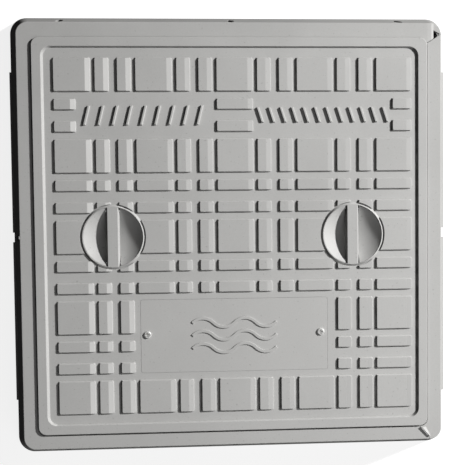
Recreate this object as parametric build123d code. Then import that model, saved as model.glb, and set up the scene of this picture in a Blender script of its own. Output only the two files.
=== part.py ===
from build123d import *
import os
from math import cos, radians, sin

# Square plastic chamber cover and frame. Millimetres, +Z up, origin at the centre of the
# frame's underside. +X is the side with the separate rail, -Y the side with the plate.

# --- frame -------------------------------------------------------------------------
FRAME_FOOT = 457.2              # skirt foot, side to side: the nominal 18 in
FRAME_HEIGHT = 45.0
SKIRT_INSET = 14.2              # how far the skirt leans in between foot and rim
FOOT_CORNER_R = 17.0
RIM_CORNER_R = 12.0
SKIRT_WALL = 3.4                # measured level
RIM_THICK = 3.5
INNER_WALL = 3.2
LEDGE_TOP = 25.0
LEDGE_THICK = 3.5
CLEAR_OPENING = 374.0
OPENING_CORNER_R = 6.0
LIP_WALL = 3.0
LIP_FOOT = 12.0
RIB_WALL = 3.0
RIB_FOOT = 22.0
FRAME_RIB_PITCH = 54.0
FRAME_RIBS_EACH_WAY = 3         # each side of a side's middle, besides the middle one
MIDDLE_RIB = 14.25              # off the middle, clear of the anchor hole
EDGE_ROUND = 0.8

PAD_HEIGHT = 8.0                # upright bands on the foot of the +X and -X sides
PAD_GAP = 10.0                  # between a side's two pads
PAD_END = 171.0

ANCHOR_R = 3.5                  # holes down through the skirt
ANCHOR_SPACING = 346.0          # between the outer two on a side
ANCHOR_OFFSET = 218.4           # from the centre to the line of holes

# --- lid ---------------------------------------------------------------------------
LID_SIDE = 399.0                # across the top edge
LID_DRAFT = 0.8                 # narrower at the seat, each side
LID_GAP = 0.9                   # lid to frame, at the rim
POCKET_SHIFT = 0.5              # the pocket's middle, towards -Y: the lid lies by its +Y wall
LID_PROUD = 2.4                 # border above the rim
LID_SEAT = 28.0
LID_CORNER_R = 8.0
LID_WALL = 3.4
PLATE_THICK = 3.2
BORDER = 9.3                    # flat top of the border
FIELD_DEPTH = 2.2
FIELD_RUN_X = 2.4               # level width of the field's wall, left and right
FIELD_RUN_Y = 0.9               # the same, front and back
FIELD_CORNER_R = 9.5
LID_RIB_WALL = 2.6
LID_RIB_FOOT = 34.0
LID_RIBS_EACH_WAY = 4

# --- plaid of raised blocks ----------------------------------------------------------
WIDE = 34.0
NARROW = 11.4
WIDE_TO_NARROW = 6.8
NARROW_TO_NARROW = 10.75
REPEATS = 4
BLOCK_HEIGHT = 2.0
BLOCK_RUN_LEFT = 1.5            # level width of a block's walls
BLOCK_RUN_RIGHT = 0.2
BLOCK_RUN_Y = 0.8
SLOPE_RUN = 5.0                 # gentle slope at a block's +X end
SLOPE_DROP = 0.8
BLOCK_CORNER_R = 1.6
BLOCK_ROOT = 0.6                # how far a block reaches down into the plate
END_BLOCK_LEFT = 19.0           # short blocks at the ends of the hatched row
END_BLOCK_RIGHT = 17.0

# --- hatched row, in place of lettering ----------------------------------------------
HATCH_STROKE = 3.2
HATCH_LEAN = 5.0
HATCH_TAPER = 15
LEFT_HATCH = dict(start=-146.0, end=-33.0, count=9, height=20.0, lean=HATCH_LEAN)
RIGHT_HATCH = dict(start=28.0, end=156.0, count=12, height=15.6, lean=-HATCH_LEAN)

# --- handles -------------------------------------------------------------------------
RING_FOOT_R = 32.6
RING_RUN = 2.0
HOLE_R = 30.2
CUP_CLEARANCE_R = 33.0          # blocks stop short of the ring
BAR_WIDTH = 11.0
BAR_DRAFT = 1.5                 # wider at the bottom, each side
BAR_DEPTH = 5.0
COLLAR_R = 34.5
COLLAR_FOOT = 36.0
CUP_FIT = 0.15
CUP_RIM_DROP = 0.6              # cup rim below the ring
CUP_DEPTH = 10.0
CUP_MOUTH_R = 29.6
CUP_WALL = 2.2
FLANGE_R = 43.0
FLANGE_THICK = 2.5
CUP_KEEP_OUT_R = 45.5
CUP_SCREW_CIRCLE_R = 38.6
CUP_SCREW_ANGLES = (45, 135, 225, 315)

# --- name plate, blank but for a wave motif --------------------------------------------
NAME_PLATE_X = 190.7
NAME_PLATE_Y = 74.3
NAME_PLATE_THICK = 1.3
NAME_PLATE_RECESS = 1.2
NAME_PLATE_GAP = 0.12
NAME_PLATE_CORNER_R = 2.0
NAME_SCREW_X = 88.4
NAME_SCREW_UP = 1.8             # above the plate's middle
WAVE_HALF = 21.5
WAVE_HALVES = 4
WAVE_RISE = 4.5
WAVE_STROKE = 2.8
WAVE_PITCH = 13.0
WAVE_HEIGHT = 0.9
WAVES = 3

# --- screws -----------------------------------------------------------------------------
SCREW_R = 1.7
SCREW_HEAD_R = 3.6
SCREW_HEAD = 2.4
SCREW_LENGTH = 9.0
SCREW_CLEARANCE = 0.15
THROUGH_CLEARANCE = 0.3
PILOT_SPARE = 0.3               # pilot holes reach this far past the screw's tip
BOSS_R = 4.2
SLOT_WIDTH = 1.1
RECESS_SHARE = 0.62             # of the head's radius
PLATE_SCREW_HEAD = 1.6
PLATE_SCREW_LENGTH = 6.0
SCREW_TURN = 25                 # degrees between one head's recess and the next

# --- separate rail on the +X side ---------------------------------------------------------
SEAM = 0.4
RAIL_PLAN = (                   # mitre at the +Y end, then the stepped lap at the -Y end
    (196.0, 191.5), (240.0, 219.1), (240.0, -240.0), (211.2, -240.0),
    (201.2, -210.9), (191.5, -199.6), (191.5, -190.0), (196.0, -190.0),
)
RAIL_SCREW_Y = (-142.5, -36.0, 36.0, 142.5)
RAIL_SCREW_X = 209.0
SHELF_TOP = 33.2
SHELF_THICK = 3.2
SHELF_LENGTH = 18.0
LIP_RISE = 2.0                  # raised edge on the rail's -Y end: height, plan below, plan on top
LIP_PLAN_LOW = ((192.4, -201.3), (200.2, -201.3), (203.4, -211.0), (201.9, -211.0))
LIP_PLAN_HIGH = ((192.6, -201.4), (194.4, -201.4), (202.3, -210.9), (201.9, -210.9))
CORNER_DROP = 1.6               # the +X +Y corner lies lower than the rim
ROLL_START = 200.5              # the rim's rolled end there, along X
ROLL_MIDDLE = 204.4
ROLL_END = 206.8
ROLL_DROP = 0.8
ROLL_LOW_Y = 197.0
CORNER_PLAN_TOP = 229.6
TRIANGLE = ((206.8, 207.5), (206.8, 198.2), (213.4, 203.9))
CORNER_WEB_Y = (190.0, 212.0)   # web below the triangle
CORNER_WEB_TOP = 30.0

# --- seal ----------------------------------------------------------------------------------
SEAL_WIDTH = 9.0
SEAL_THICK = 2.8
SEAL_GAP = 0.5                  # to the pocket's walls

# --- derived ---------------------------------------------------------------------------------
RIM_SIDE = FRAME_FOOT - 2 * SKIRT_INSET
POCKET_TOP = LID_SIDE + 2 * LID_GAP
POCKET_FOOT = POCKET_TOP - 2 * LID_DRAFT
POCKET_CORNER_R = LID_CORNER_R + LID_GAP
RIM_UNDER = FRAME_HEIGHT - RIM_THICK
INNER_WALL_SIDE = POCKET_TOP + 2 * INNER_WALL
LID_TOP = FRAME_HEIGHT + LID_PROUD
FIELD_Z = LID_TOP - FIELD_DEPTH
PLATE_UNDER = FIELD_Z - PLATE_THICK
BLOCK_TOP = FIELD_Z + BLOCK_HEIGHT
PERIOD = WIDE + 2 * NARROW + 2 * WIDE_TO_NARROW + NARROW_TO_NARROW
PLAID = REPEATS * PERIOD + WIDE
HANDLE_X = PLAID / 2 - PERIOD / 2 - WIDE / 2
FIRST_NARROW = WIDE + WIDE_TO_NARROW
SECOND_NARROW = FIRST_NARROW + NARROW + NARROW_TO_NARROW
ROW_BAND = SECOND_NARROW + NARROW
NAME_PLATE_MIDDLE_Y = PLAID / 2 - 3 * PERIOD - ROW_BAND / 2
PLATE_SEAT = FIELD_Z - NAME_PLATE_RECESS + NAME_PLATE_THICK
HATCH_Y = PLAID / 2 - (FIRST_NARROW + ROW_BAND) / 2
CUP_RIM = BLOCK_TOP - CUP_RIM_DROP
BOWL_R = (CUP_MOUTH_R**2 + CUP_DEPTH**2) / (2 * CUP_DEPTH)
BOWL_Z = CUP_RIM - CUP_DEPTH + BOWL_R
EPS = 1.0                       # overshoot of a cutting tool
THROUGH = 120.0                 # length of a cutting tool that goes right through


def prism(sketch, low, high):
    """A sketch stretched between two heights."""
    return extrude(Pos(0, 0, low) * sketch, amount=high - low)


def rounded(width, depth, radius, z=0.0):
    return Pos(0, 0, z) * RectangleRounded(width, depth, radius)


def tapered(low_face, high_face):
    return loft([low_face.face(), high_face.face()], ruled=True)


def block_between(low, high):
    """A box from its lowest to its highest corner."""
    size = [b - a for a, b in zip(low, high)]
    middle = [(a + b) / 2 for a, b in zip(low, high)]
    return Pos(*middle) * Box(*size)


# ======================================= frame ================================================

def skirt_outline(inset, z_low, z_high):
    """The solid inside the skirt's outer face, moved in by inset."""
    foot = rounded(FRAME_FOOT - 2 * inset, FRAME_FOOT - 2 * inset, FOOT_CORNER_R - inset / 2, z_low)
    rim = rounded(RIM_SIDE - 2 * inset, RIM_SIDE - 2 * inset, RIM_CORNER_R - inset / 2, z_high)
    return tapered(foot, rim)


def pocket_column(low, high):
    """The pocket's plan at the rim, between two heights."""
    plan = RectangleRounded(POCKET_TOP, POCKET_TOP, POCKET_CORNER_R)
    return Pos(0, -POCKET_SHIFT, 0) * prism(plan, low, high)


def lid_pocket():
    foot = rounded(POCKET_FOOT, POCKET_FOOT, LID_CORNER_R, LEDGE_TOP)
    top = rounded(POCKET_TOP, POCKET_TOP, POCKET_CORNER_R, FRAME_HEIGHT)
    pocket = Pos(0, -POCKET_SHIFT, 0) * tapered(foot, top)
    return pocket + pocket_column(FRAME_HEIGHT, FRAME_HEIGHT + EPS)


def side_pads():
    """Upright bands along the foot of the +X and -X sides, two to a side."""
    outer = FRAME_FOOT / 2
    lean = SKIRT_INSET * PAD_HEIGHT / FRAME_HEIGHT
    pads = []
    for side in (-1, 1):
        for start in (PAD_GAP / 2, -PAD_END):
            ends = sorted((side * outer, side * (outer - lean - SKIRT_WALL)))
            stop = start + PAD_END - PAD_GAP / 2
            pads.append(block_between((ends[0], start, 0), (ends[1], stop, PAD_HEIGHT)))
    return pads


def anchor_holes():
    """Three holes on the +Y and -Y sides, and one in the middle of the others."""
    half = ANCHOR_SPACING / 2
    spots = [(x, y) for x in (-half, 0, half) for y in (-ANCHOR_OFFSET, ANCHOR_OFFSET)]
    spots += [(-ANCHOR_OFFSET, 0), (ANCHOR_OFFSET, 0)]
    return [Pos(x, y, FRAME_HEIGHT / 2) * Cylinder(ANCHOR_R, FRAME_HEIGHT + 2 * EPS) for x, y in spots]


def frame_shell():
    """Skirt and rim of all four sides."""
    outer = skirt_outline(0, 0, FRAME_HEIGHT)
    outer = fillet(outer.edges().group_by(Axis.Z)[-1], EDGE_ROUND)
    inner = skirt_outline(SKIRT_WALL, 0, FRAME_HEIGHT)
    below_rim = block_between((-FRAME_FOOT, -FRAME_FOOT, -EPS), (FRAME_FOOT, FRAME_FOOT, RIM_UNDER))
    shell = outer - (inner & below_rim) + side_pads()
    shell = shell - pocket_column(0, FRAME_HEIGHT + EPS)
    return shell - anchor_holes()


def frame_ribs():
    """Webs between the inner wall and the skirt, a little short of the separate rail."""
    reach = FRAME_FOOT / 2
    inside = CLEAR_OPENING / 2 + LIP_WALL / 2
    skirt_inside = skirt_outline(SKIRT_WALL - SEAM, 0, FRAME_HEIGHT)
    rail_inside = skirt_outline(SKIRT_WALL + SEAM, 0, FRAME_HEIGHT)
    ribs = []
    for step in range(-FRAME_RIBS_EACH_WAY, FRAME_RIBS_EACH_WAY + 1):
        place = step * FRAME_RIB_PITCH if step else MIDDLE_RIB
        low, high = place - RIB_WALL / 2, place + RIB_WALL / 2
        ribs.append(skirt_inside & block_between((low, inside, RIB_FOOT), (high, reach, RIM_UNDER)))
        ribs.append(skirt_inside & block_between((low, -reach, RIB_FOOT), (high, -inside, RIM_UNDER)))
        ribs.append(skirt_inside & block_between((-reach, low, RIB_FOOT), (-inside, high, RIM_UNDER)))
        by_rail = block_between((inside, low, RIB_FOOT), (reach, high, RIM_UNDER - SEAM))
        ribs.append(rail_inside & by_rail)
    return ribs


def rail_outline():
    """Plan of the region that belongs to the separate rail."""
    return make_face(Polyline(*RAIL_PLAN, close=True))


def frame_core():
    """Inner wall, seat ledge, hanging lip and ribs."""
    wall = prism(RectangleRounded(INNER_WALL_SIDE, INNER_WALL_SIDE, POCKET_CORNER_R + INNER_WALL),
                 LEDGE_TOP - LEDGE_THICK, RIM_UNDER)
    lip_side = CLEAR_OPENING + 2 * LIP_WALL
    lip = prism(RectangleRounded(lip_side, lip_side, OPENING_CORNER_R + LIP_WALL), LIP_FOOT, LEDGE_TOP)
    shelves = []
    for y in RAIL_SCREW_Y:
        shelf = block_between((INNER_WALL_SIDE / 2 - EPS, y - SHELF_LENGTH / 2, SHELF_TOP - SHELF_THICK),
                              (FRAME_FOOT / 2, y + SHELF_LENGTH / 2, SHELF_TOP))
        shelf = shelf & skirt_outline(SKIRT_WALL + SEAM, 0, FRAME_HEIGHT)
        hole = Pos(RAIL_SCREW_X, y, SHELF_TOP) * Cylinder(SCREW_R + THROUGH_CLEARANCE, THROUGH)
        shelves.append(shelf - hole)
    web = block_between((CLEAR_OPENING / 2, CORNER_WEB_Y[0], CORNER_WEB_TOP - SHELF_THICK),
                        (FRAME_FOOT / 2, CORNER_WEB_Y[1], CORNER_WEB_TOP))
    shelves.append(web & skirt_outline(SKIRT_WALL + SEAM, 0, FRAME_HEIGHT))
    core = wall + lip + frame_ribs() + shelves
    core = core - lid_pocket()
    opening = RectangleRounded(CLEAR_OPENING, CLEAR_OPENING, OPENING_CORNER_R)
    return core - prism(opening, -EPS, LEDGE_TOP + EPS)


def corner_relief():
    """At the +X +Y corner the rim's end rolls down to a lower corner, beside a small open triangle."""
    roll_top = FRAME_HEIGHT + EPS
    roll = make_face(Polyline((ROLL_START, FRAME_HEIGHT), (ROLL_MIDDLE, FRAME_HEIGHT - ROLL_DROP / 4),
                              (ROLL_END, FRAME_HEIGHT - ROLL_DROP), (ROLL_END, roll_top),
                              (ROLL_START, roll_top), close=True))
    rolled = Pos(0, CORNER_PLAN_TOP, 0) * extrude(Plane.XZ * roll, amount=CORNER_PLAN_TOP - ROLL_LOW_Y)
    lowered = block_between((ROLL_END, ROLL_LOW_Y, FRAME_HEIGHT - CORNER_DROP),
                            (FRAME_FOOT / 2, CORNER_PLAN_TOP, roll_top))
    triangle = make_face(Polyline(*TRIANGLE, close=True))
    return [rolled, lowered, prism(triangle, RIM_UNDER - EPS, roll_top)]


def frame_body():
    shell = frame_shell()
    for cut in corner_relief():
        shell = shell - cut
    shell = shell - prism(offset(rail_outline(), SEAM), -EPS, FRAME_HEIGHT + EPS)
    return shell + frame_core()


def right_rail():
    rail = frame_shell() & prism(rail_outline(), -EPS, FRAME_HEIGHT + EPS)
    pilot = SCREW_LENGTH - SHELF_THICK + PILOT_SPARE
    for y in RAIL_SCREW_Y:
        boss = Pos(RAIL_SCREW_X, y, (SHELF_TOP + RIM_UNDER) / 2) * Cylinder(BOSS_R, RIM_UNDER - SHELF_TOP)
        rail = rail + boss
        rail = rail - Pos(RAIL_SCREW_X, y, SHELF_TOP) * Cylinder(SCREW_R + SCREW_CLEARANCE, 2 * pilot)
    return rail + rail_lip()


def rail_lip():
    """Raised edge where the rail laps the -Y side, sloping down towards +X."""
    low = Pos(0, 0, FRAME_HEIGHT - EPS) * make_face(Polyline(*LIP_PLAN_LOW, close=True))
    high = Pos(0, 0, FRAME_HEIGHT + LIP_RISE) * make_face(Polyline(*LIP_PLAN_HIGH, close=True))
    return tapered(low, high)


def seat_seal():
    outer = POCKET_FOOT - 2 * SEAL_GAP
    inner = outer - 2 * SEAL_WIDTH
    ring = RectangleRounded(outer, outer, LID_CORNER_R) - RectangleRounded(inner, inner, OPENING_CORNER_R)
    seal = Pos(0, -POCKET_SHIFT, 0) * prism(ring, LEDGE_TOP, LEDGE_TOP + SEAL_THICK)
    return fillet(seal.edges().group_by(Axis.Z)[-1], EDGE_ROUND)


# ======================================== lid =================================================

def lid_shell():
    seat = LID_SIDE - 2 * LID_DRAFT
    top = rounded(LID_SIDE, LID_SIDE, LID_CORNER_R, LID_TOP)
    shell = tapered(rounded(seat, seat, LID_CORNER_R, LID_SEAT), top)
    shell = fillet(shell.edges().group_by(Axis.Z)[-1], EDGE_ROUND)
    mouth = LID_SIDE - 2 * BORDER
    floor_x = mouth - 2 * FIELD_RUN_X
    floor_y = mouth - 2 * FIELD_RUN_Y
    floor = rounded(floor_x, floor_y, FIELD_CORNER_R - FIELD_RUN_Y, FIELD_Z)
    field = tapered(floor, rounded(mouth, mouth, FIELD_CORNER_R, LID_TOP))
    field = field + prism(RectangleRounded(mouth, mouth, FIELD_CORNER_R), LID_TOP, LID_TOP + EPS)
    cavity = seat - 2 * LID_WALL
    hollow = prism(RectangleRounded(cavity, cavity, LID_CORNER_R - LID_WALL), LID_SEAT - EPS, PLATE_UNDER)
    return shell - field - hollow


def lid_ribs():
    reach = (LID_SIDE - LID_WALL) / 2
    ribs = []
    for step in range(-LID_RIBS_EACH_WAY, LID_RIBS_EACH_WAY + 1):
        place = step * PERIOD / 2
        low, high = place - LID_RIB_WALL / 2, place + LID_RIB_WALL / 2
        ribs.append(block_between((low, -reach, LID_RIB_FOOT), (high, reach, PLATE_UNDER + BLOCK_ROOT)))
        ribs.append(block_between((-reach, low, LID_RIB_FOOT), (reach, high, PLATE_UNDER + BLOCK_ROOT)))
    keep_out = [Pos(x, 0, LID_RIB_FOOT) * Cylinder(CUP_KEEP_OUT_R, THROUGH) for x in (-HANDLE_X, HANDLE_X)]
    return (Part() + ribs) - keep_out


def plaid_spans():
    """Start and length of each block along one side, from one end of the plaid to the other."""
    spans = []
    for repeat in range(REPEATS):
        start = repeat * PERIOD
        spans.append((start, WIDE))
        spans.append((start + FIRST_NARROW, NARROW))
        spans.append((start + SECOND_NARROW, NARROW))
    spans.append((REPEATS * PERIOD, WIDE))
    return spans


def plaid_block(width, depth):
    """A raised block standing on z = 0, rooted a little below it, its top sloping down at the +X end."""
    height = BLOCK_HEIGHT + BLOCK_ROOT
    runs = (BLOCK_RUN_LEFT, BLOCK_RUN_RIGHT, BLOCK_RUN_Y)
    left, right, inset_y = (run * height / BLOCK_HEIGHT for run in runs)
    flat_end = width / 2 - BLOCK_RUN_LEFT
    foot_x = 2 * flat_end + SLOPE_RUN + left + right
    foot_y = depth + 2 * (inset_y - BLOCK_RUN_Y)
    wedge = Wedge(foot_x, height, foot_y, left, inset_y, foot_x - right, foot_y - inset_y)
    block = Pos((SLOPE_RUN + right - left) / 2, 0, height / 2 - BLOCK_ROOT) * Rot(90, 0, 0) * wedge
    block = fillet(block.edges().group_by(Axis.Z)[1], BLOCK_CORNER_R)
    wall = flat_end + SLOPE_RUN + right
    low = BLOCK_HEIGHT - SLOPE_DROP * (wall - flat_end) / SLOPE_RUN
    above_slope = Polyline((flat_end, BLOCK_HEIGHT), (wall, low), (wall, height), (flat_end, height), close=True)
    return block - Pos(0, depth, 0) * extrude(Plane.XZ * make_face(above_slope), amount=2 * depth)


def plaid_places():
    """(left, width, top, depth) of every block, left and top from the plaid's -X +Y corner."""
    columns = plaid_spans()
    last = REPEATS * PERIOD
    places = []
    for row, (top, depth) in enumerate(columns):
        for column, (left, width) in enumerate(columns):
            in_plate_rows = 3 * PERIOD <= top < REPEATS * PERIOD
            in_plate_columns = PERIOD <= left < 3 * PERIOD + WIDE
            if in_plate_rows and in_plate_columns:
                continue
            if row in (1, 2):
                if left == 0:
                    width = END_BLOCK_LEFT
                elif left == last:
                    left, width = last + WIDE - END_BLOCK_RIGHT, END_BLOCK_RIGHT
                elif left != 2 * PERIOD:
                    continue
            places.append((left, width, top, depth))
    return places


def plaid_blocks():
    clearance = [Pos(x, 0, 0) * Cylinder(CUP_CLEARANCE_R, THROUGH) for x in (-HANDLE_X, HANDLE_X)]
    shapes = {}
    blocks = []
    for left, width, top, depth in plaid_places():
        if (width, depth) not in shapes:
            shapes[(width, depth)] = plaid_block(width, depth)
        x = -PLAID / 2 + left + width / 2
        y = PLAID / 2 - top - depth / 2
        block = Pos(x, y, FIELD_Z) * shapes[(width, depth)]
        near = abs(abs(x) - HANDLE_X) - width / 2 - SLOPE_RUN
        if near < CUP_CLEARANCE_R and abs(y) - depth / 2 < CUP_CLEARANCE_R:
            pieces = (block - clearance).solids()
            blocks.extend(pieces)
        else:
            blocks.append(block)
    return blocks


def hatch_bars(start, end, count, height, lean):
    bars = []
    half = HATCH_STROKE / 2
    for index in range(count):
        x = start + (end - start) * index / (count - 1)
        low, high = x - lean / 2, x + lean / 2
        outline = Polyline((low - half, -height / 2), (low + half, -height / 2),
                           (high + half, height / 2), (high - half, height / 2), close=True)
        bar = extrude(make_face(outline), amount=BLOCK_HEIGHT + BLOCK_ROOT, taper=HATCH_TAPER)
        bars.append(Pos(0, HATCH_Y, FIELD_Z - BLOCK_ROOT) * bar)
    return bars


def handle_ring():
    """Raised ring and the collar under it, solid across; the hole is cut afterwards."""
    ring_foot_r = RING_FOOT_R + RING_RUN * BLOCK_ROOT / BLOCK_HEIGHT
    ring_middle = FIELD_Z + (BLOCK_HEIGHT - BLOCK_ROOT) / 2
    ring = Pos(0, 0, ring_middle) * Cone(ring_foot_r, RING_FOOT_R - RING_RUN, BLOCK_HEIGHT + BLOCK_ROOT)
    collar = prism(Circle(COLLAR_R), COLLAR_FOOT, FIELD_Z)
    bosses = [prism(Pos(*screw_spot(a)) * Circle(BOSS_R), COLLAR_FOOT, FIELD_Z) for a in CUP_SCREW_ANGLES]
    return ring + collar + bosses


def screw_spot(angle):
    return (CUP_SCREW_CIRCLE_R * cos(radians(angle)), CUP_SCREW_CIRCLE_R * sin(radians(angle)))


def handle_bar():
    """Fixed bar across the hole, a little narrower at the top."""
    half = BAR_WIDTH / 2
    low = BLOCK_TOP - BAR_DEPTH
    wide = half + BAR_DRAFT
    profile = Polyline((-half, BLOCK_TOP), (half, BLOCK_TOP), (wide, low), (-wide, low), close=True)
    section = Plane.XZ * make_face(profile)
    length = 2 * HOLE_R
    bar = Pos(0, length / 2, 0) * extrude(section, amount=length)
    bar = fillet(bar.edges().filter_by(Axis.Y), EDGE_ROUND)
    return bar & Pos(0, 0, BLOCK_TOP) * Cylinder(HOLE_R + EPS / 2, THROUGH)


def lid():
    body = lid_shell() + lid_ribs()
    rings = [Pos(x, 0, 0) * handle_ring() for x in (-HANDLE_X, HANDLE_X)]
    screw_y = NAME_PLATE_MIDDLE_Y + NAME_SCREW_UP
    plate_bosses = [Pos(x, screw_y, 0) * prism(Circle(BOSS_R), COLLAR_FOOT, PLATE_UNDER + EPS)
                    for x in (-NAME_SCREW_X, NAME_SCREW_X)]
    body = body + rings + plate_bosses
    body = body + plaid_blocks() + hatch_bars(**LEFT_HATCH) + hatch_bars(**RIGHT_HATCH)
    cuts = []
    for x in (-HANDLE_X, HANDLE_X):
        cuts.append(Pos(x, 0, BLOCK_TOP) * Cylinder(HOLE_R, THROUGH))
        for angle in CUP_SCREW_ANGLES:
            spot_x, spot_y = screw_spot(angle)
            cuts.append(prism(Pos(x + spot_x, spot_y) * Circle(SCREW_R + SCREW_CLEARANCE),
                              COLLAR_FOOT - EPS, COLLAR_FOOT - FLANGE_THICK + SCREW_LENGTH + PILOT_SPARE))
    recess_x = NAME_PLATE_X + 2 * NAME_PLATE_GAP
    recess_y = NAME_PLATE_Y + 2 * NAME_PLATE_GAP
    recess = prism(RectangleRounded(recess_x, recess_y, NAME_PLATE_CORNER_R), FIELD_Z - NAME_PLATE_RECESS,
                   FIELD_Z + EPS)
    cuts.append(Pos(0, NAME_PLATE_MIDDLE_Y, 0) * recess)
    for x in (-NAME_SCREW_X, NAME_SCREW_X):
        cuts.append(prism(Pos(x, screw_y) * Circle(SCREW_R + SCREW_CLEARANCE),
                          PLATE_SEAT - PLATE_SCREW_LENGTH - PILOT_SPARE, FIELD_Z + EPS))
    body = body - cuts
    bars = [Pos(x, 0, 0) * handle_bar() for x in (-HANDLE_X, HANDLE_X)]
    return body + bars


def handle_cup(x):
    """Bowl that closes the hole from below, with slots that straddle the bar."""
    foot = COLLAR_FOOT - FLANGE_THICK
    spigot = prism(Circle(HOLE_R - CUP_FIT), foot, CUP_RIM)
    flange = prism(Circle(FLANGE_R), foot, COLLAR_FOOT)
    hollow = prism(Circle(HOLE_R - CUP_FIT - CUP_WALL), foot - EPS, CUP_RIM)
    hollow = hollow - Pos(0, 0, BOWL_Z) * Sphere(BOWL_R + CUP_WALL)
    cup = spigot + flange - hollow - Pos(0, 0, BOWL_Z) * Sphere(BOWL_R)
    slot_half = BAR_WIDTH / 2 + BAR_DRAFT + THROUGH_CLEARANCE
    slot_low = BLOCK_TOP - BAR_DEPTH - THROUGH_CLEARANCE
    cup = cup - block_between((-slot_half, -2 * HOLE_R, slot_low), (slot_half, 2 * HOLE_R, CUP_RIM + EPS))
    for angle in CUP_SCREW_ANGLES:
        hole = Pos(*screw_spot(angle)) * Circle(SCREW_R + THROUGH_CLEARANCE)
        cup = cup - prism(hole, foot - EPS, COLLAR_FOOT + EPS)
    return Pos(x, 0, 0) * cup


def name_plate():
    plate = prism(RectangleRounded(NAME_PLATE_X, NAME_PLATE_Y, NAME_PLATE_CORNER_R), 0, NAME_PLATE_THICK)
    for x in (-NAME_SCREW_X, NAME_SCREW_X):
        plate = plate - Pos(x, NAME_SCREW_UP, 0) * Cylinder(SCREW_R + THROUGH_CLEARANCE, THROUGH)
    for wave in range(WAVES):
        y = (wave - (WAVES - 1) / 2) * WAVE_PITCH
        stroke = Pos(0, y, 0) * trace(wave_line(), WAVE_STROKE)
        plate = plate + prism(stroke, NAME_PLATE_THICK / 2, NAME_PLATE_THICK + WAVE_HEIGHT)
    return Pos(0, NAME_PLATE_MIDDLE_Y, FIELD_Z - NAME_PLATE_RECESS) * plate


def wave_line():
    """Half waves joined end to end, up and down in turn."""
    start = -WAVE_HALVES * WAVE_HALF / 2
    line = Curve()
    for half in range(WAVE_HALVES):
        a = start + half * WAVE_HALF
        rise = WAVE_RISE if half % 2 == 0 else -WAVE_RISE
        line += ThreePointArc((a, 0), (a + WAVE_HALF / 2, rise), (a + WAVE_HALF, 0))
    return line


# ====================================== screws ================================================

def screw(length=SCREW_LENGTH, head_height=SCREW_HEAD):
    """Head up: the head stands on z = 0 and the shank hangs below it."""
    head = prism(Circle(SCREW_HEAD_R), 0, head_height)
    head = fillet(head.edges().group_by(Axis.Z)[-1], EDGE_ROUND)
    shank = prism(Circle(SCREW_R), -length, EPS / 2)
    slot = Pos(0, 0, head_height) * Box(2 * SCREW_HEAD_R + EPS, SLOT_WIDTH, head_height)
    cross = Rot(0, 0, 90) * slot
    recess = (slot + cross) & Pos(0, 0, head_height) * Cylinder(RECESS_SHARE * SCREW_HEAD_R, 2 * SCREW_HEAD)
    return head + shank - recess


def screw_from_below(x, y, z, turn):
    return Pos(x, y, z) * Rot(180, 0, turn) * screw()


def screws():
    made = {}
    for side, x in (("left", -HANDLE_X), ("right", HANDLE_X)):
        for number, angle in enumerate(CUP_SCREW_ANGLES, start=1):
            spot_x, spot_y = screw_spot(angle)
            seat = COLLAR_FOOT - FLANGE_THICK
            name = f"{side}_cup_screw_{number}"
            made[name] = screw_from_below(x + spot_x, spot_y, seat, SCREW_TURN * number)
    for number, y in enumerate(RAIL_SCREW_Y, start=1):
        seat = SHELF_TOP - SHELF_THICK
        made[f"rail_screw_{number}"] = screw_from_below(RAIL_SCREW_X, y, seat, SCREW_TURN * number)
    for side, x in (("left", -NAME_SCREW_X), ("right", NAME_SCREW_X)):
        place = Pos(x, NAME_PLATE_MIDDLE_Y + NAME_SCREW_UP, PLATE_SEAT)
        made[f"name_plate_screw_{side}"] = place * screw(PLATE_SCREW_LENGTH, PLATE_SCREW_HEAD)
    return made


def main():
    parts = {
        "frame_body": frame_body(),
        "frame_right_rail": right_rail(),
        "seat_seal": seat_seal(),
        "lid": lid(),
        "left_handle_cup": handle_cup(-HANDLE_X),
        "right_handle_cup": handle_cup(HANDLE_X),
        "name_plate": name_plate(),
    }
    parts.update(screws())
    os.makedirs("parts", exist_ok=True)
    for name, shape in parts.items():
        export_step(shape, f"parts/{name}.step")


main()
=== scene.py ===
"""Looks, light and camera for the square plastic cover and frame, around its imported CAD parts."""

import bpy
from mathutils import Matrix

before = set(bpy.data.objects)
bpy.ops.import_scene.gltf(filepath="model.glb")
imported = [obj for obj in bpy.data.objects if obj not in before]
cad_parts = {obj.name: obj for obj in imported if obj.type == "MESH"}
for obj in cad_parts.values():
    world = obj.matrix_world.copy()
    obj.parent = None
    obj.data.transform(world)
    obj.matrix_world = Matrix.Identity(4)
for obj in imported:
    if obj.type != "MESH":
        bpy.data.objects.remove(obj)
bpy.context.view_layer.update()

import math

import bpy
from mathutils import Matrix, Vector

# Camera: a hand-held shot from about 0.9 m, a little left of and above the middle.
IMAGE_WIDTH = 470
CAMERA_PLACE = (-0.0493, 0.0201, 0.8781)
CAMERA_YAW, CAMERA_PITCH, CAMERA_ROLL = (math.radians(a) for a in (-3.47, -2.44, -0.63))
FOCAL_SHARE = 821.4 / IMAGE_WIDTH
SENSOR_MM = 36.0
SHIFT_Y = 18.3 / IMAGE_WIDTH

CLIP_NEAR, CLIP_FAR = 0.01, 60.0

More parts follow.
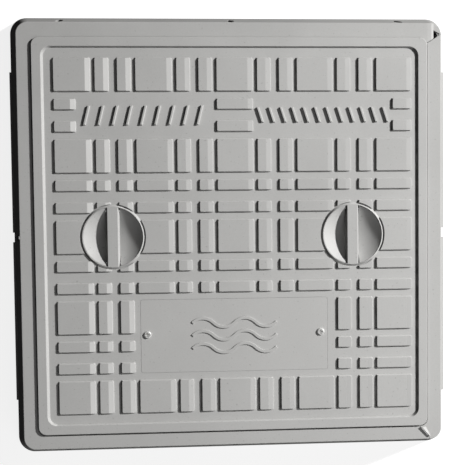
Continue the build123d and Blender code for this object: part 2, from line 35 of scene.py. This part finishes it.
# Key light: small, low from the +X side and a little from the +Y side. Metres and watts.
KEY_AZIMUTH, KEY_ELEVATION = math.radians(26.0), math.radians(30.5)
KEY_DISTANCE = 2.3
KEY_SIZE = (0.18, 0.18)
KEY_WATTS = 85.0
KEY_COLOUR = (1.0, 0.995, 0.985)
FILL_PLACE, FILL_TARGET = (0.45, -0.9, 1.0), (-0.05, -0.2, 0.0)
FILL_SIZE = (1.2, 0.7)
FILL_WATTS = 3.2
LOW_FILL_PLACE, LOW_FILL_TARGET = (0.25, -2.0, 0.3), (0.0, -0.2, 0.0)
LOW_FILL_SIZE = (1.2, 0.5)
LOW_FILL_WATTS = 2.0
WHITE = (1.0, 1.0, 1.0)
WORLD_STRENGTH = 0.018

FLOOR_SIDE = 40.0
FLOOR_DROP = 0.0004             # clear of the frame's foot
FLOOR_TONES = (0.30, 0.30, 0.30), (0.33, 0.33, 0.33)
FLOOR_ROUGHNESS = 0.9
FLOOR_GLOW = 0.84

# Base colours, linear.
GREY = (0.44, 0.439, 0.433)     # the lid's plastic; the frame and the plate differ a little
FRAME_SHADE, PLATE_SHADE = 0.97, 1.01
# Pale colour for rubbed edges, and for the painted light on the -Y side.
PALE_WEAR_AND_PAINTED_LIGHT = (0.56, 0.558, 0.55)
SOILED = (0.30, 0.298, 0.29)
# Painted highlight for the lid's sloping block ends towards -X.
PAINTED_SLOPE_HIGHLIGHT = (0.60, 0.598, 0.59)
# Painted shade for the lid's sloping block ends towards +X.
PAINTED_SLOPE_SHADE = (0.39, 0.389, 0.384)
# Painted shade for the lid's walls that face -X, away from the key.
PAINTED_WALL_SHADE = (0.085, 0.084, 0.082)
RUBBER, RUBBER_DUST = (0.022, 0.022, 0.023), (0.10, 0.098, 0.092)
HIDDEN_ZINC = (0.40, 0.40, 0.39), (0.60, 0.60, 0.58)
BRIGHT_ZINC = (0.62, 0.62, 0.61), (0.82, 0.82, 0.81)
RUST = (0.16, 0.10, 0.06)

# Moulded plastic: shares of the second colour in each mix, radii and bump heights in metres.
BLOTCH_DARK, BLOTCH_LIGHT = 0.965, 1.03
# Painted light: share of the pale colour at the -Y side.
PAINTED_LIGHT_SHARE = 0.4                  # at the -Y side, fading to none at the +Y side
PAINTED_LIGHT_REACH = 0.2
GRAIN_SHARE, SPECK_SHARE, EDGE_WEAR_SHARE = 0.10, 0.55, 0.15
EDGE_RADIUS = 0.0005
ROUGHNESS_LOW, ROUGHNESS_HIGH = 0.54, 0.68
SPECULAR = 0.3
FINE_BUMP_STRENGTH, FINE_BUMP_HEIGHT = 0.10, 0.0002
WAVE_BUMP_STRENGTH, WAVE_BUMP_HEIGHT = 0.25, 0.0012


def node(tree, kind, **settings):
    made = tree.nodes.new(kind)
    for name, value in settings.items():
        setattr(made, name, value)
    return made


def noise(tree, vector, scale, detail=2.0, roughness=0.5):
    made = node(tree, "ShaderNodeTexNoise")
    made.inputs["Scale"].default_value = scale
    made.inputs["Detail"].default_value = detail
    made.inputs["Roughness"].default_value = roughness
    tree.links.new(vector, made.inputs["Vector"])
    return made.outputs["Fac"]


def ramp(tree, factor, low, high, value_low, value_high):
    """Values between value_low and value_high as factor goes from low to high."""
    made = node(tree, "ShaderNodeMapRange", interpolation_type="SMOOTHSTEP")
    made.inputs["From Min"].default_value = low
    made.inputs["From Max"].default_value = high
    made.inputs["To Min"].default_value = value_low
    made.inputs["To Max"].default_value = value_high
    tree.links.new(factor, made.inputs["Value"])
    return made.outputs["Result"]


def mix(tree, factor, first, second):
    """Colour mix; each of first and second is a colour or a socket."""
    made = node(tree, "ShaderNodeMix", data_type="RGBA")
    tree.links.new(factor, made.inputs[0])
    for socket, value in ((made.inputs[6], first), (made.inputs[7], second)):
        if isinstance(value, tuple):
            socket.default_value = (*value, 1.0)
        else:
            tree.links.new(value, socket)
    return made.outputs[2]


def product(tree, first, second):
    made = node(tree, "ShaderNodeMath", operation="MULTIPLY")
    tree.links.new(first, made.inputs[0])
    tree.links.new(second, made.inputs[1])
    return made.outputs[0]


def axis_of(tree, vector, axis):
    made = node(tree, "ShaderNodeSeparateXYZ")
    tree.links.new(vector, made.inputs[0])
    return made.outputs[axis]


def bump(tree, height, strength, distance, normal=None):
    """A normal that follows height, on top of another normal if one is given."""
    made = node(tree, "ShaderNodeBump")
    made.inputs["Strength"].default_value = strength
    made.inputs["Distance"].default_value = distance
    tree.links.new(height, made.inputs["Height"])
    if normal:
        tree.links.new(normal, made.inputs["Normal"])
    return made.outputs[0]


def rounded_normal(tree, radius, samples):
    made = node(tree, "ShaderNodeBevel", samples=samples)
    made.inputs["Radius"].default_value = radius
    return made.outputs[0]


def new_material(name):
    material = bpy.data.materials.new(name)
    material.use_nodes = True
    tree = material.node_tree
    shader = tree.nodes["Principled BSDF"]
    place = node(tree, "ShaderNodeTexCoord").outputs["Object"]
    return material, tree, shader, place


def edge_mask(tree, radius):
    """1 on sharp edges and 0 on flat faces."""
    surface = node(tree, "ShaderNodeNewGeometry")
    dot = node(tree, "ShaderNodeVectorMath", operation="DOT_PRODUCT")
    tree.links.new(rounded_normal(tree, radius, 4), dot.inputs[0])
    tree.links.new(surface.outputs["Normal"], dot.inputs[1])
    return ramp(tree, dot.outputs["Value"], 0.80, 0.995, 1.0, 0.0)


def painted_wall_light_and_shade(tree, place, base):
    """Painted light on the lid: a painted highlight on the blocks' sloping ends towards -X, painted shade on
    them towards +X, and painted shade on walls facing -X.
    """
    facing_x = axis_of(tree, node(tree, "ShaderNodeTexCoord").outputs["Normal"], "X")
    along_x = axis_of(tree, place, "X")
    sloping, not_steep = ramp(tree, facing_x, 0.08, 0.13, 0.0, 1.0), ramp(tree, facing_x, 0.2, 0.3, 1.0, 0.0)
    slope = product(tree, sloping, not_steep)
    streaks = ramp(tree, noise(tree, place, 35.0, 3.0), 0.3, 0.7, 0.86, 1.0)
    # Painted highlight: the sloping ends made paler towards -X, in streaks.
    pale = product(tree, product(tree, slope, ramp(tree, along_x, -0.175, -0.005, 1.0, 0.0)), streaks)
    base = mix(tree, pale, base, PAINTED_SLOPE_HIGHLIGHT)
    # Painted shade: the sloping ends a little darker towards +X.
    base = mix(tree, product(tree, slope, ramp(tree, along_x, -0.02, 0.14, 0.0, 1.0)), base, PAINTED_SLOPE_SHADE)
    # Painted shade: walls facing -X made near black, in patches.
    wall = ramp(tree, facing_x, -0.5, -0.3, 1.0, 0.0)
    patches = ramp(tree, noise(tree, place, 80.0, 3.0), 0.3, 0.7, 0.7, 0.95)
    return mix(tree, product(tree, wall, patches), base, PAINTED_WALL_SHADE)


def plastic(name, shade=1.0, with_painted_wall_light=False):
    """Satin moulded plastic: flow marks, fine grain, specks and rubbed edges, with painted light making it
    paler towards -Y, and optionally painted highlight and painted shade on the lid's slopes and walls.
    """
    material, tree, shader, place = new_material(name)
    blotches = ramp(tree, noise(tree, place, 9.0, 3.0), 0.35, 0.65, 0.0, 1.0)
    dark, light = (tuple(share * shade * c for c in GREY) for share in (BLOTCH_DARK, BLOTCH_LIGHT))
    base = mix(tree, blotches, dark, light)
    # Painted light: paler towards -Y, fading to none at +Y.
    painted_light_share = ramp(tree, axis_of(tree, place, "Y"), -PAINTED_LIGHT_REACH, PAINTED_LIGHT_REACH, PAINTED_LIGHT_SHARE, 0.0)
    base = mix(tree, painted_light_share, base, PALE_WEAR_AND_PAINTED_LIGHT)
    base = mix(tree, ramp(tree, noise(tree, place, 900.0), 0.3, 0.7, 0.0, GRAIN_SHARE), base, SOILED)
    base = mix(tree, ramp(tree, noise(tree, place, 420.0, 1.0), 0.70, 0.76, 0.0, SPECK_SHARE), base, SOILED)
    base = mix(tree, ramp(tree, edge_mask(tree, EDGE_RADIUS), 0.0, 1.0, 0.0, EDGE_WEAR_SHARE), base, PALE_WEAR_AND_PAINTED_LIGHT)
    # Painted highlight and painted shade on the lid's sloping ends and -X walls.
    if with_painted_wall_light:
        base = painted_wall_light_and_shade(tree, place, base)
    tree.links.new(base, shader.inputs["Base Color"])
    roughness = ramp(tree, noise(tree, place, 60.0, 4.0), 0.3, 0.7, ROUGHNESS_LOW, ROUGHNESS_HIGH)
    tree.links.new(roughness, shader.inputs["Roughness"])
    shader.inputs["Specular IOR Level"].default_value = SPECULAR
    soft = rounded_normal(tree, EDGE_RADIUS, 6)
    waves = bump(tree, noise(tree, place, 22.0), WAVE_BUMP_STRENGTH, WAVE_BUMP_HEIGHT, soft)
    fine = bump(tree, noise(tree, place, 1400.0), FINE_BUMP_STRENGTH, FINE_BUMP_HEIGHT, waves)
    tree.links.new(fine, shader.inputs["Normal"])
    return material


def rubber(name):
    """Matte rubber with patches of pale dust."""
    material, tree, shader, place = new_material(name)
    dust = ramp(tree, noise(tree, place, 140.0, 5.0, 0.7), 0.45, 0.75, 0.0, 0.5)
    tree.links.new(mix(tree, dust, RUBBER, RUBBER_DUST), shader.inputs["Base Color"])
    roughness = ramp(tree, noise(tree, place, 300.0, 3.0), 0.3, 0.7, 0.62, 0.85)
    tree.links.new(roughness, shader.inputs["Roughness"])
    tree.links.new(bump(tree, noise(tree, place, 700.0, 3.0), 0.25, 0.0003), shader.inputs["Normal"])
    return material


def zinc(name, tones, metallic):
    """Zinc plating between two tones, with a little rust."""
    material, tree, shader, place = new_material(name)
    spangle = ramp(tree, noise(tree, place, 700.0, 3.0), 0.35, 0.65, 0.0, 1.0)
    rust = ramp(tree, noise(tree, place, 260.0, 5.0, 0.7), 0.60, 0.72, 0.0, 0.6)
    tree.links.new(mix(tree, rust, mix(tree, spangle, *tones), RUST), shader.inputs["Base Color"])
    shader.inputs["Metallic"].default_value = metallic
    tree.links.new(ramp(tree, spangle, 0.0, 1.0, 0.32, 0.5), shader.inputs["Roughness"])
    tree.links.new(bump(tree, noise(tree, place, 2500.0), 0.2, 0.0001), shader.inputs["Normal"])
    return material


def paint(material, names):
    for name in names:
        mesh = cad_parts[name].data
        mesh.materials.clear()
        mesh.materials.append(material)


def paint_parts():
    screws = [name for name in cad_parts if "screw" in name]
    on_plate = [name for name in screws if name.startswith("name_plate")]
    paint(plastic("frame_plastic", FRAME_SHADE), ["frame_body", "frame_right_rail"])
    # The lid's plastic carries the painted highlight and painted shade on its slopes and walls.
    paint(plastic("lid_plastic", with_painted_wall_light=True), ["lid"])
    paint(plastic("cup_plastic"), ["left_handle_cup", "right_handle_cup"])
    paint(plastic("plate_plastic", PLATE_SHADE), ["name_plate"])
    paint(rubber("seal_rubber"), ["seat_seal"])
    paint(zinc("screw_steel", HIDDEN_ZINC, 0.85), [name for name in screws if name not in on_plate])
    paint(zinc("plate_screw_steel", BRIGHT_ZINC, 0.35), on_plate)


def make_floor():
    mesh = bpy.data.meshes.new("floor")
    half = FLOOR_SIDE / 2
    mesh.from_pydata([(-half, -half, -FLOOR_DROP), (half, -half, -FLOOR_DROP),
                      (half, half, -FLOOR_DROP), (-half, half, -FLOOR_DROP)], [], [(0, 1, 2, 3)])
    floor = bpy.data.objects.new("floor", mesh)
    bpy.context.scene.collection.objects.link(floor)
    material, tree, shader, place = new_material("floor_pale")
    tone = ramp(tree, noise(tree, place, 3.0, 4.0), 0.3, 0.7, 0.0, 1.0)
    tree.links.new(mix(tree, tone, *FLOOR_TONES), shader.inputs["Base Color"])
    shader.inputs["Roughness"].default_value = FLOOR_ROUGHNESS
    shader.inputs["Emission Color"].default_value = (*WHITE, 1.0)
    shader.inputs["Emission Strength"].default_value = FLOOR_GLOW
    mesh.materials.append(material)
    floor.visible_diffuse = False
    floor.visible_glossy = False


def make_light(name, place, target, watts, size, colour=WHITE):
    """An elliptical area light, size across and down, that faces target."""
    data = bpy.data.lights.new(name, "AREA")
    data.shape = "ELLIPSE"
    data.size, data.size_y = size
    data.energy = watts
    data.color = colour
    light = bpy.data.objects.new(name, data)
    bpy.context.scene.collection.objects.link(light)
    light.location = place
    light.rotation_mode = "QUATERNION"
    light.rotation_quaternion = (Vector(place) - Vector(target)).to_track_quat("Z", "Y")


def make_lights():
    """A small key, a weak fill over the near side and a low one on the frame's near skirt."""
    level = math.cos(KEY_ELEVATION) * KEY_DISTANCE
    height = math.sin(KEY_ELEVATION) * KEY_DISTANCE
    key_place = (level * math.cos(KEY_AZIMUTH), level * math.sin(KEY_AZIMUTH), height)
    make_light("key", key_place, (0.0, 0.0, 0.0), KEY_WATTS, KEY_SIZE, KEY_COLOUR)
    make_light("fill", FILL_PLACE, FILL_TARGET, FILL_WATTS, FILL_SIZE)
    make_light("low_fill", LOW_FILL_PLACE, LOW_FILL_TARGET, LOW_FILL_WATTS, LOW_FILL_SIZE)


def make_world():
    world = bpy.data.worlds.new("studio")
    bpy.context.scene.world = world
    world.use_nodes = True
    background = world.node_tree.nodes["Background"]
    background.inputs["Color"].default_value = (*WHITE, 1.0)
    background.inputs["Strength"].default_value = WORLD_STRENGTH


def make_camera():
    data = bpy.data.cameras.new("camera")
    data.sensor_width = SENSOR_MM
    data.lens = FOCAL_SHARE * SENSOR_MM
    data.shift_y = SHIFT_Y
    data.clip_start, data.clip_end = CLIP_NEAR, CLIP_FAR
    camera = bpy.data.objects.new("camera", data)
    bpy.context.scene.collection.objects.link(camera)
    turn = (Matrix.Rotation(CAMERA_YAW, 4, "Y") @ Matrix.Rotation(CAMERA_PITCH, 4, "X")
            @ Matrix.Rotation(CAMERA_ROLL, 4, "Z"))
    camera.matrix_world = Matrix.Translation(CAMERA_PLACE) @ turn
    bpy.context.scene.camera = camera


paint_parts()
make_floor()
make_lights()
make_world()
make_camera()
bpy.context.scene.view_settings.view_transform = "Standard"
